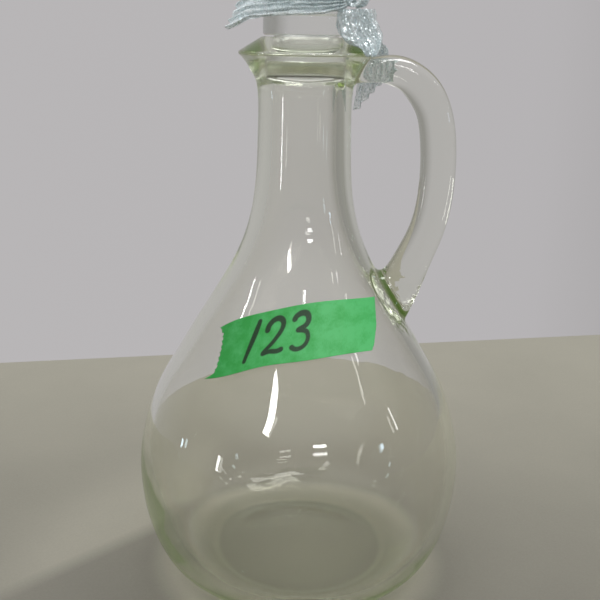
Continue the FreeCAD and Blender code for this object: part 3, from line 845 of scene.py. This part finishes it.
def ribbon(name, node, path, across, half, deep, folds, seed, rough=0.3, step=0.5, nv=96):
    """A strip gathered into pleats along a path: half is its half width there, deep the most that a pleat rises."""
    c = Curve(path)
    ns = max(24, int(c.t[-1] / step))
    t = np.linspace(0, c.t[-1], ns)
    p = c.at(t)
    soft = max(2, int(1.6 / step))
    tan = unit(np.gradient(p, t, axis=0))
    av = eased(np.stack([np.interp(t, c.t, np.array(across, float)[:, k]) for k in range(3)], 1), soft)
    av = unit(av)
    nr = np.cross(tan, av)
    lean = np.linalg.norm(nr, axis=1)
    nr = unit(nr)
    w = eased(np.interp(t, c.t, half), soft)
    top = eased(np.interp(t, c.t, deep), soft)
    v = np.linspace(-1, 1, nv)
    rng = np.random.default_rng(seed)
    ph = rng.uniform(0, 2 * math.pi, 6)
    arg = (folds * math.pi * v[None] + ph[0] + (0.9 * np.sin(0.13 * t + ph[1]) + 0.5 * np.sin(0.31 * t + ph[2]))[:, None]
           + 0.7 * np.sin(2.2 * v[None] + 0.09 * t[:, None] + ph[3]))
    g = (np.sin(arg) + 0.35 * np.sin(1.63 * arg + ph[4] + 0.2 * t[:, None])) / 1.2
    dg = np.gradient(g, v, axis=1)
    lo, hi = np.zeros(ns), np.full(ns, 9.0)
    for _ in range(32):
        m = (lo + hi) / 2
        f = np.sqrt((w * lean)[:, None] ** 2 + (m[:, None] * dg) ** 2)
        arc = ((f[:, 1:] + f[:, :-1]) / 2).sum(1) * (v[1] - v[0])
        lo = np.where(arc < RIBBON_WIDE, m, lo)
        hi = np.where(arc < RIBBON_WIDE, hi, m)
    rise = eased(np.minimum((lo + hi) / 2, top), soft)
    um, vm = np.repeat(t[:, None], nv, 1), np.repeat((v * RIBBON_WIDE / 2)[None], ns, 0)
    x = w[:, None] * v[None] + 0.5 * rough * crumple(um, vm, waves(14, 3.0, 9.0, seed + 1))
    y = rise[:, None] * g + rough * crumple(um, vm, waves(22, 2.2, 8.0, seed + 2))
    q = p[:, None] + av[:, None] * x[..., None] + nr[:, None] * y[..., None]
    n = unit(np.cross(np.gradient(q, axis=0), np.gradient(q, axis=1)))
    both = np.concatenate([(q + 0.05 * n).reshape(-1, 3), (q - 0.05 * n).reshape(-1, 3)])
    cnt = ns * nv
    fs = []
    for i in range(ns - 1):
        for j in range(nv - 1):
            a = i * nv + j
            fs.append((a, a + 1, a + nv + 1, a + nv))
            fs.append((cnt + a, cnt + a + nv, cnt + a + nv + 1, cnt + a + 1))
    edge = ([j for j in range(nv)] + [i * nv + nv - 1 for i in range(1, ns)]
            + [(ns - 1) * nv + j for j in range(nv - 2, -1, -1)] + [i * nv for i in range(ns - 2, 0, -1)])
    for k in range(len(edge)):
        a, b = edge[k], edge[(k + 1) % len(edge)]
        fs.append((a, cnt + a, cnt + b, b))
    ob = make(name, both, fs)
    face_out(ob)
    lay = ob.data.attributes.new("flat", "FLOAT_VECTOR", "POINT")
    fl = np.stack([um.ravel(), vm.ravel(), np.full(cnt, 7.0 * seed)], 1)
    lay.data.foreach_set("vector", np.concatenate([fl, fl]).astype(np.float32).ravel())
    ob.data.materials.append(ribbon_mesh)
    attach(ob, "ribbon_tie")
    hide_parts(node)
    return ob, c.t[-1] * MM


def ribbon_material():
    """Open pale-blue net with small bright flakes on it, each at its own tilt."""
    m, nt, b, o = nodes_of("blue_ribbon")
    flat = new(nt, "ShaderNodeAttribute", attribute_name="flat")
    parts = new(nt, "ShaderNodeSeparateXYZ")
    nt.links.new(flat.outputs["Vector"], parts.inputs["Vector"])

    def thread(axis, pitch, share):
        w = new(nt, "ShaderNodeMath", operation="PINGPONG")
        w.inputs[1].default_value = pitch / 2
        nt.links.new(parts.outputs[axis], w.inputs[0])
        r = new(nt, "ShaderNodeMath", operation="LESS_THAN")
        r.inputs[1].default_value = share * pitch / 2
        nt.links.new(w.outputs[0], r.inputs[0])
        return r.outputs[0]

    cells = new(nt, "ShaderNodeTexVoronoi", feature="F1")
    cells.inputs["Scale"].default_value = 1.9
    nt.links.new(flat.outputs["Vector"], cells.inputs["Vector"])
    pick = new(nt, "ShaderNodeSeparateColor")
    nt.links.new(cells.outputs["Color"], pick.inputs["Color"])
    some = new(nt, "ShaderNodeMath", operation="GREATER_THAN")
    some.inputs[1].default_value = 0.5
    nt.links.new(pick.outputs["Red"], some.inputs[0])
    near = new(nt, "ShaderNodeMath", operation="LESS_THAN")
    near.inputs[1].default_value = 0.5
    nt.links.new(cells.outputs["Distance"], near.inputs[0])
    flake = new(nt, "ShaderNodeMath", operation="MULTIPLY")
    nt.links.new(some.outputs[0], flake.inputs[0])
    nt.links.new(near.outputs[0], flake.inputs[1])
    net = new(nt, "ShaderNodeMath", operation="MAXIMUM")
    nt.links.new(thread("X", 0.5, 0.28), net.inputs[0])
    nt.links.new(thread("Y", 0.5, 0.28), net.inputs[1])
    solid = new(nt, "ShaderNodeMath", operation="MAXIMUM")
    nt.links.new(net.outputs[0], solid.inputs[0])
    nt.links.new(flake.outputs[0], solid.inputs[1])

    geo = new(nt, "ShaderNodeNewGeometry")
    shift = new(nt, "ShaderNodeVectorMath", operation="SUBTRACT")
    shift.inputs[1].default_value = (0.5, 0.5, 0.5)
    nt.links.new(cells.outputs["Color"], shift.inputs[0])
    scale = new(nt, "ShaderNodeVectorMath", operation="SCALE")
    scale.inputs["Scale"].default_value = 1.0
    nt.links.new(shift.outputs[0], scale.inputs[0])
    tilt = new(nt, "ShaderNodeVectorMath", operation="ADD")
    nt.links.new(geo.outputs["Normal"], tilt.inputs[0])
    nt.links.new(scale.outputs[0], tilt.inputs[1])
    one = new(nt, "ShaderNodeVectorMath", operation="NORMALIZE")
    nt.links.new(tilt.outputs[0], one.inputs[0])

    b.inputs["Base Color"].default_value = (0.86, 0.93, 0.95, 1)
    b.inputs["Roughness"].default_value = 0.35
    through = new(nt, "ShaderNodeBsdfTranslucent")
    through.inputs["Color"].default_value = (0.90, 0.97, 0.98, 1)
    cloth = new(nt, "ShaderNodeMixShader")
    cloth.inputs[0].default_value = 0.3
    nt.links.new(b.outputs["BSDF"], cloth.inputs[1])
    nt.links.new(through.outputs[0], cloth.inputs[2])
    foil = new(nt, "ShaderNodeBsdfPrincipled")
    foil.inputs["Base Color"].default_value = (0.86, 0.95, 0.98, 1)
    foil.inputs["Metallic"].default_value = 0.55
    foil.inputs["Roughness"].default_value = 0.27
    nt.links.new(one.outputs[0], foil.inputs["Normal"])
    mix = new(nt, "ShaderNodeMixShader")
    nt.links.new(flake.outputs[0], mix.inputs[0])
    nt.links.new(cloth.outputs[0], mix.inputs[1])
    nt.links.new(foil.outputs["BSDF"], mix.inputs[2])
    clear = new(nt, "ShaderNodeBsdfTransparent")
    out = new(nt, "ShaderNodeMixShader")
    nt.links.new(solid.outputs[0], out.inputs[0])
    nt.links.new(clear.outputs[0], out.inputs[1])
    nt.links.new(mix.outputs[0], out.inputs[2])
    nt.links.new(out.outputs[0], o.inputs["Surface"])
    return m


ribbon_mesh = ribbon_material()


def petal(loop):
    """The way out along one side of a loop, round its tip and back along the other."""
    p = np.array([l[:3] for l in loop], float)
    half, thick = np.array([l[3] for l in loop]), np.array([l[4] for l in loop])
    tan = np.gradient(p, axis=0)
    tan[:, 2] = 0
    side = unit(np.stack([-tan[:, 1], tan[:, 0], 0 * tan[:, 0]], 1))
    tip = p[-1] + unit(tan[-1]) * 1.2
    path = np.concatenate([(p + side * thick[:, None])[:-1], [tip], (p - side * thick[:, None])[:-1][::-1]])
    hh = np.concatenate([half[:-1], [half[-2] * 0.8], half[:-1][::-1]])
    return path, np.repeat([[0.0, 0.0, 1.0]], len(path), 0), hh, np.clip(hh * 0.22, 1.0, 1.6)


turn_at = KNOT_AZ + np.linspace(-0.15, 2 * math.pi + 0.1, 40)
wrap_path = np.stack([BAND_R * np.cos(turn_at), BAND_R * np.sin(turn_at), np.full(40, (BAND_LOW + BAND_HIGH) / 2)], 1)
wrap, wrap_len = ribbon("ribbon_wrap", "ribbon_band", wrap_path, np.repeat([[0, 0, 1.0]], 40, 0),
                        np.full(40, (BAND_HIGH - BAND_LOW) / 2 - 0.2), np.full(40, 0.95), 6, 11, 0.16)
knot_mid = np.array([KNOT_R * math.cos(KNOT_AZ), KNOT_R * math.sin(KNOT_AZ), KNOT_Z])
outward = np.array([math.cos(KNOT_AZ), math.sin(KNOT_AZ), 0.0])
sideways = np.array([-math.sin(KNOT_AZ), math.cos(KNOT_AZ), 0.0])
roll = np.linspace(0.6 * math.pi, 3.3 * math.pi, 30)
knot_r = np.linspace(2.7, 3.9, 30)[:, None]
knot_path = knot_mid + knot_r * (np.cos(roll)[:, None] * outward + np.sin(roll)[:, None] * np.array([0, 0, 1.0]))
knot, knot_len = ribbon("ribbon_bow_knot", "ribbon_knot", knot_path, np.repeat(sideways[None], 30, 0), np.full(30, 4.4),
                        np.full(30, 0.75), 9, 23, 0.2)
left_loop, left_loop_len = ribbon("ribbon_left_loop", "ribbon_loop_left", *petal(LOOP_LEFT), 4, 31)


def tail(stations, cut_at):
    p = [s[0] for s in stations] + [tuple((np.array(cut_at[0]) + np.array(cut_at[1])) / 2)]
    a = np.array(cut_at[0], float) - np.array(cut_at[1], float)
    if a @ np.array(stations[-1][2], float) < 0:
        a = -a
    across = [s[2] for s in stations] + [tuple(a / np.linalg.norm(a))]
    half = [s[1] for s in stations] + [float(np.linalg.norm(a)) / 2]
    deep = [s[3] for s in stations] + [stations[-1][3]]
    return p, across, half, deep


def hanging(stations, tip):
    """A loop that hangs down: out along its front, round the tip and back behind."""
    p, across, half, deep = (np.array(v, float) for v in tail(stations, tip))
    n = unit(np.cross(across, np.gradient(p, axis=0)))
    gap = (deep * 0.55)[:, None]
    path = np.concatenate([(p + n * gap)[:-1], p[-1:], (p - n * gap)[:-1][::-1]])
    return (path, np.concatenate([across, across[:-1][::-1]]), np.concatenate([half, half[:-1][::-1]]),
            0.6 * np.concatenate([deep, deep[:-1][::-1]]))


right_loop, right_loop_len = ribbon("ribbon_right_loop", "ribbon_loop_right", *hanging(LOOP_RIGHT, TIP_RIGHT), 5, 43, 0.45)
right_end, right_end_len = ribbon("ribbon_right_end", "ribbon_tail_right", *tail(END_RIGHT, CUT_RIGHT), 5, 57, 0.28)
left_end, left_end_len = ribbon("ribbon_left_end", "ribbon_tail_left", *tail(END_LEFT, CUT_LEFT), 4, 61, 0.28)
for ob, long, on in ((wrap, wrap_len, "stopper_solid"), (knot, knot_len, "ribbon_wrap"), (left_loop, left_loop_len, "ribbon_bow_knot"),
                     (right_loop, right_loop_len, "ribbon_bow_knot"), (right_end, right_end_len, "ribbon_bow_knot"),
                     (left_end, left_end_len, "ribbon_bow_knot")):
    print(ob.name, "open edges, cm3", open_edges(ob), "length", round(long, 4))

# ========================================================================== stage
# Table tones, far and near: the darker near tone is painted shade, light falling off towards the front.
TABLE_NEAR, TABLE_FAR = (0.25, 0.24, 0.20, 1.0), (0.47, 0.455, 0.375, 1.0)


def table_top():
    turn = math.radians(10.6)
    w, d, back = 1.7, 1.3, 0.3035
    vs, fs = [], []
    nx, ny = 2, 2
    pts = [(-w / 2, back - d), (w / 2, back - d), (w / 2, back), (-w / 2, back)]
    c, s = math.cos(turn), math.sin(turn)
    t = 0.02
    for z in (-0.00025, -t):
        vs += [((c * x - s * y) * 1000, (s * x + c * y) * 1000, z * 1000) for x, y in pts]
    fs = [(0, 1, 2, 3), (7, 6, 5, 4), (0, 4, 5, 1), (1, 5, 6, 2), (2, 6, 7, 3), (3, 7, 4, 0)]
    ob = make("table_top", vs, fs, flat=True)
    m, nt, b, o = nodes_of("table")
    tc = new(nt, "ShaderNodeTexCoord")
    fine = noise(nt, tc.outputs["Object"], 900.0, 2.0, 0.6)
    broad = noise(nt, tc.outputs["Object"], 14.0, 3.0, 0.5)
    add = new(nt, "ShaderNodeMath", operation="ADD")
    nt.links.new(fine.outputs["Fac"], add.inputs[0])
    nt.links.new(broad.outputs["Fac"], add.inputs[1])
    mr = new(nt, "ShaderNodeMapRange")
    mr.inputs["From Min"].default_value, mr.inputs["From Max"].default_value = 0.6, 1.4
    nt.links.new(add.outputs[0], mr.inputs["Value"])
    ramp = new(nt, "ShaderNodeValToRGB")
    ramp.color_ramp.elements[0].color = (0.92, 0.92, 0.92, 1)
    ramp.color_ramp.elements[1].color = (1.04, 1.04, 1.04, 1)
    nt.links.new(mr.outputs["Result"], ramp.inputs["Fac"])
    far = new(nt, "ShaderNodeSeparateXYZ")
    nt.links.new(tc.outputs["Object"], far.inputs["Vector"])
    # Painted shade: the table darkens from back to front, between 0.3 m behind and 0.2 m in front of the axis.
    painted_falloff = new(nt, "ShaderNodeMapRange", interpolation_type="SMOOTHSTEP")
    painted_falloff.inputs["From Min"].default_value, painted_falloff.inputs["From Max"].default_value = -0.20, 0.30
    nt.links.new(far.outputs["Y"], painted_falloff.inputs["Value"])
    tone = new(nt, "ShaderNodeMix", data_type="RGBA")
    nt.links.new(painted_falloff.outputs["Result"], tone.inputs["Factor"])
    tone.inputs["A"].default_value = TABLE_NEAR
    tone.inputs["B"].default_value = TABLE_FAR
    mul = new(nt, "ShaderNodeMix", data_type="RGBA", blend_type="MULTIPLY")
    mul.inputs["Factor"].default_value = 1.0
    nt.links.new(tone.outputs["Result"], mul.inputs["A"])
    nt.links.new(ramp.outputs["Color"], mul.inputs["B"])
    # Painted light: the table is made lighter under and around the bottle's foot, up to 1.86 times at 45 to 60 mm from
    # the axis, standing in for light that comes through the glass.
    flat = new(nt, "ShaderNodeVectorMath", operation="MULTIPLY")
    flat.inputs[1].default_value = (1.0, 1.0, 0.0)
    nt.links.new(tc.outputs["Object"], flat.inputs[0])
    away = new(nt, "ShaderNodeVectorMath", operation="LENGTH")
    nt.links.new(flat.outputs[0], away.inputs[0])
    tenth = new(nt, "ShaderNodeMath", operation="MULTIPLY")
    tenth.inputs[1].default_value = 10.0
    nt.links.new(away.outputs["Value"], tenth.inputs[0])
    painted_light_under_bottle = new(nt, "ShaderNodeValToRGB")
    painted_light_under_bottle.color_ramp.interpolation = "EASE"
    els = painted_light_under_bottle.color_ramp.elements
    els[0].position, els[1].position = 0.0, 1.0
    els[0].color, els[1].color = (1.42, 1.42, 1.42, 1), (1, 1, 1, 1)
    for at, val in ((0.41, 1.42), (0.445, 1.8), (0.6, 1.86), (0.78, 1.03)):
        els.new(at).color = (val, val, val, 1)
    nt.links.new(tenth.outputs[0], painted_light_under_bottle.inputs["Fac"])
    light = new(nt, "ShaderNodeVectorMath", operation="SCALE")
    nt.links.new(mul.outputs["Result"], light.inputs[0])
    # a soft edge of shade runs across the table on the left, with light thrown by the glass beyond it
    across = new(nt, "ShaderNodeVectorMath", operation="DOT_PRODUCT")
    across.inputs[1].default_value = (-5.4393, 5.4393, 0.0)
    nt.links.new(tc.outputs["Object"], across.inputs[0])
    begin = new(nt, "ShaderNodeMath", operation="ADD")
    begin.inputs[1].default_value = -0.3348
    nt.links.new(across.outputs["Value"], begin.inputs[0])
    thrown = new(nt, "ShaderNodeValToRGB")
    els = thrown.color_ramp.elements
    els[0].position, els[1].position = 0.0, 1.0
    els[0].color, els[1].color = (0.90, 0.90, 0.90, 1), (1, 1, 1, 1)
    for at, val in ((0.169, 0.90), (0.262, 1.45), (0.385, 1.40), (0.569, 1.24), (0.908, 1.0)):
        els.new(at).color = (val, val, val, 1)
    nt.links.new(begin.outputs[0], thrown.inputs["Fac"])
    side = new(nt, "ShaderNodeMapRange", interpolation_type="SMOOTHSTEP")
    side.inputs["From Min"].default_value, side.inputs["From Max"].default_value = -0.045, -0.070
    nt.links.new(far.outputs["X"], side.inputs["Value"])
    left = new(nt, "ShaderNodeMix", data_type="RGBA")
    left.inputs["A"].default_value = (1, 1, 1, 1)
    nt.links.new(thrown.outputs["Color"], left.inputs["B"])
    close = new(nt, "ShaderNodeMapRange", interpolation_type="SMOOTHSTEP")
    close.inputs["From Min"].default_value, close.inputs["From Max"].default_value = 0.185, 0.115
    nt.links.new(away.outputs["Value"], close.inputs["Value"])
    nearby = new(nt, "ShaderNodeMath", operation="MULTIPLY")
    nt.links.new(side.outputs["Result"], nearby.inputs[0])
    nt.links.new(close.outputs["Result"], nearby.inputs[1])
    nt.links.new(nearby.outputs[0], left.inputs["Factor"])
    both = new(nt, "ShaderNodeMath", operation="MULTIPLY")
    nt.links.new(painted_light_under_bottle.outputs["Color"], both.inputs[0])
    nt.links.new(left.outputs["Result"], both.inputs[1])
    nt.links.new(both.outputs[0], light.inputs["Scale"])
    nt.links.new(light.outputs[0], b.inputs["Base Color"])
    b.inputs["Roughness"].default_value = 0.6
    ob.data.materials.append(m)
    return ob


table_top()

world = bpy.data.worlds.new("studio")
scene.world = world
world.use_nodes = True
nt = world.node_tree
nt.nodes.clear()
wo = nt.nodes.new("ShaderNodeOutputWorld")
bg = nt.nodes.new("ShaderNodeBackground")
nt.links.new(bg.outputs["Background"], wo.inputs["Surface"])
tc = nt.nodes.new("ShaderNodeTexCoord")
sep = nt.nodes.new("ShaderNodeSeparateXYZ")
nt.links.new(tc.outputs["Generated"], sep.inputs["Vector"])
turn = new(nt, "ShaderNodeMath", operation="ARCTAN2")
nt.links.new(sep.outputs["X"], turn.inputs[0])
nt.links.new(sep.outputs["Y"], turn.inputs[1])
share = new(nt, "ShaderNodeMapRange")
share.inputs["From Min"].default_value, share.inputs["From Max"].default_value = -math.pi, math.pi
nt.links.new(turn.outputs[0], share.inputs["Value"])
round_ramp = new(nt, "ShaderNodeValToRGB")
ROOM = [(-180, (0.33, 0.325, 0.32)), (-105, (0.33, 0.325, 0.32)), (-70, (0.43, 0.422, 0.42)), (-20, (0.48, 0.466, 0.472)),
        (0, (0.475, 0.461, 0.469)), (15, (0.465, 0.451, 0.46)), (33, (0.30, 0.293, 0.285)), (85, (0.27, 0.263, 0.256)),
        (125, (0.30, 0.295, 0.29)), (180, (0.33, 0.325, 0.32))]
els = round_ramp.color_ramp.elements
els[0].position, els[1].position = 0.0, 1.0
els[0].color, els[1].color = (*ROOM[0][1], 1), (*ROOM[-1][1], 1)
for deg, col in ROOM[1:-1]:
    e = els.new((deg + 180) / 360)
    e.color = (*col, 1)
nt.links.new(share.outputs["Result"], round_ramp.inputs["Fac"])
up = new(nt, "ShaderNodeMapRange", interpolation_type="SMOOTHSTEP")
up.inputs["From Min"].default_value, up.inputs["From Max"].default_value = 0.25, 0.8
nt.links.new(sep.outputs["Z"], up.inputs["Value"])
tall_ramp = new(nt, "ShaderNodeValToRGB")
els = tall_ramp.color_ramp.elements
els[0].position, els[1].position = 0.0, 1.0
els[0].color = els[1].color = (0.25, 0.25, 0.25, 1)
for deg, val in ((-75, 0.25), (-45, 0.54), (45, 0.54), (75, 0.25)):
    els.new((deg + 180) / 360).color = (val, val, val, 1)
nt.links.new(share.outputs["Result"], tall_ramp.inputs["Fac"])
nt.links.new(tall_ramp.outputs["Color"], up.inputs["From Min"])
tall_top = new(nt, "ShaderNodeMath", operation="ADD", use_clamp=False)
tall_top.inputs[1].default_value = 0.42
nt.links.new(tall_ramp.outputs["Color"], tall_top.inputs[0])
nt.links.new(tall_top.outputs[0], up.inputs["From Max"])
mix2 = new(nt, "ShaderNodeMix", data_type="RGBA")
nt.links.new(up.outputs["Result"], mix2.inputs["Factor"])
nt.links.new(round_ramp.outputs["Color"], mix2.inputs["A"])
mix2.inputs["B"].default_value = (0.95, 0.94, 0.93, 1)
nt.links.new(mix2.outputs["Result"], bg.inputs["Color"])
bg.inputs["Strength"].default_value = 1.0


def strip(name, az, el_lo, el_hi, radiance, wide=0.035, dist=1.6, lean=0.0, colour=(1.0, 1.0, 1.0)):
    """Narrow lamp seen from the shoulder between two heights at a bearing (from +Y, towards +X)."""
    target = Vector((0, 0, 0.11))
    el = math.radians((el_lo + el_hi) / 2)
    a = math.radians(az)
    d = Vector((math.sin(a) * math.cos(el), math.cos(a) * math.cos(el), math.sin(el)))
    tall = 2 * dist * math.tan(math.radians(el_hi - el_lo) / 2)
    li = bpy.data.lights.new(name, "AREA")
    li.shape = "RECTANGLE"
    li.size, li.size_y = wide, tall
    li.energy = radiance * math.pi * wide * tall
    li.color = colour
    ob = bpy.data.objects.new(name, li)
    scene.collection.objects.link(ob)
    ob.location = target + d * dist
    q = (-d).to_track_quat("-Z", "Y")
    ob.rotation_mode = "QUATERNION"
    ob.rotation_quaternion = q @ Matrix.Rotation(math.radians(lean), 4, "Z").to_quaternion()
    ob.visible_diffuse = False
    ob.visible_camera = False
    return ob


strip("lamp_a", -155, 27, 37, 30, 0.13, 1.6, -18.0)
strip("lamp_b", -97, 29, 34, 24, 0.05)
strip("lamp_c", 175, 44, 51, 24, 0.05)
strip("lamp_d", 99, 33, 37, 20, 0.05)
strip("lamp_e", 165, 22.2, 24.0, 26, 0.26)
strip("lamp_n", 165, 17.0, 18.8, 14, 0.26)
strip("lamp_f", 117, 31, 35, 8, 0.05)
strip("lamp_g", -125, -3, 5, 22, 0.03, 0.9)
strip("lamp_h", 138, 58, 74, 14, 1.0)
strip("lamp_i", -93, -4, 0, 14, 0.03, 0.8, 0.0, (0.66, 0.84, 1.0))
strip("lamp_j", 119, 9, 13, 14, 0.05, 1.2, 0.0, (0.66, 0.84, 1.0))
strip("lamp_k", 102, 14, 22, 12, 0.035)

# Soft keys for the tape and the ribbon alone.
lit = bpy.data.collections.new("lit_ribbon")
lit_right = bpy.data.collections.new("lit_right")
lit_tape = bpy.data.collections.new("lit_tape")
for ob in (wrap, knot, left_loop, left_end):
    lit.objects.link(ob)
for ob in (knot, right_loop, right_end):
    lit_right.objects.link(ob)
lit_tape.objects.link(tape)


def key(name, at, to, size, watts, who):
    li = bpy.data.lights.new(name, "AREA")
    li.size, li.energy = size, watts
    ob = bpy.data.objects.new(name, li)
    scene.collection.objects.link(ob)
    ob.location = at
    ob.rotation_mode = "QUATERNION"
    ob.rotation_quaternion = (Vector(to) - Vector(at)).to_track_quat("-Z", "Y")
    ob.visible_camera = ob.visible_transmission = False
    ob.light_linking.receiver_collection = who
    return ob


key("key_left", (-0.6, -1.0, 0.7), (0, 0, 0.26), 0.22, 11.0, lit)
key("key_right", (0.55, -1.0, 0.9), (0, 0, 0.26), 0.16, 3.0, lit_right)
key("key_tape", (0.75, -0.9, 0.7), (0, 0, 0.14), 0.2, 6.0, lit_tape)

# ========================================================================= camera
cam = bpy.data.cameras.new("camera")
cam_ob = bpy.data.objects.new("camera", cam)
scene.collection.objects.link(cam_ob)
cam.sensor_width = 36.0
cam.lens = 53.58
cam_ob.matrix_world = (Matrix.Translation((-0.0007, -0.4036, 0.2601)) @ Matrix.Rotation(math.radians(73.05), 4, "X")
                       @ Matrix.Rotation(math.radians(0.992), 4, "Z"))
cam.clip_start, cam.clip_end = 0.01, 20.0
scene.camera = cam_ob

scene.view_settings.view_transform = "Standard"
scene.cycles.use_denoising = True
scene.cycles.max_bounces = 24
scene.cycles.transmission_bounces = 24
scene.cycles.glossy_bounces = 8
scene.cycles.transparent_max_bounces = 48
scene.cycles.diffuse_bounces = 3
scene.cycles.caustics_refractive = True
scene.cycles.caustics_reflective = True
scene.cycles.sample_clamp_indirect = 6.0

bpy.context.view_layer.update()
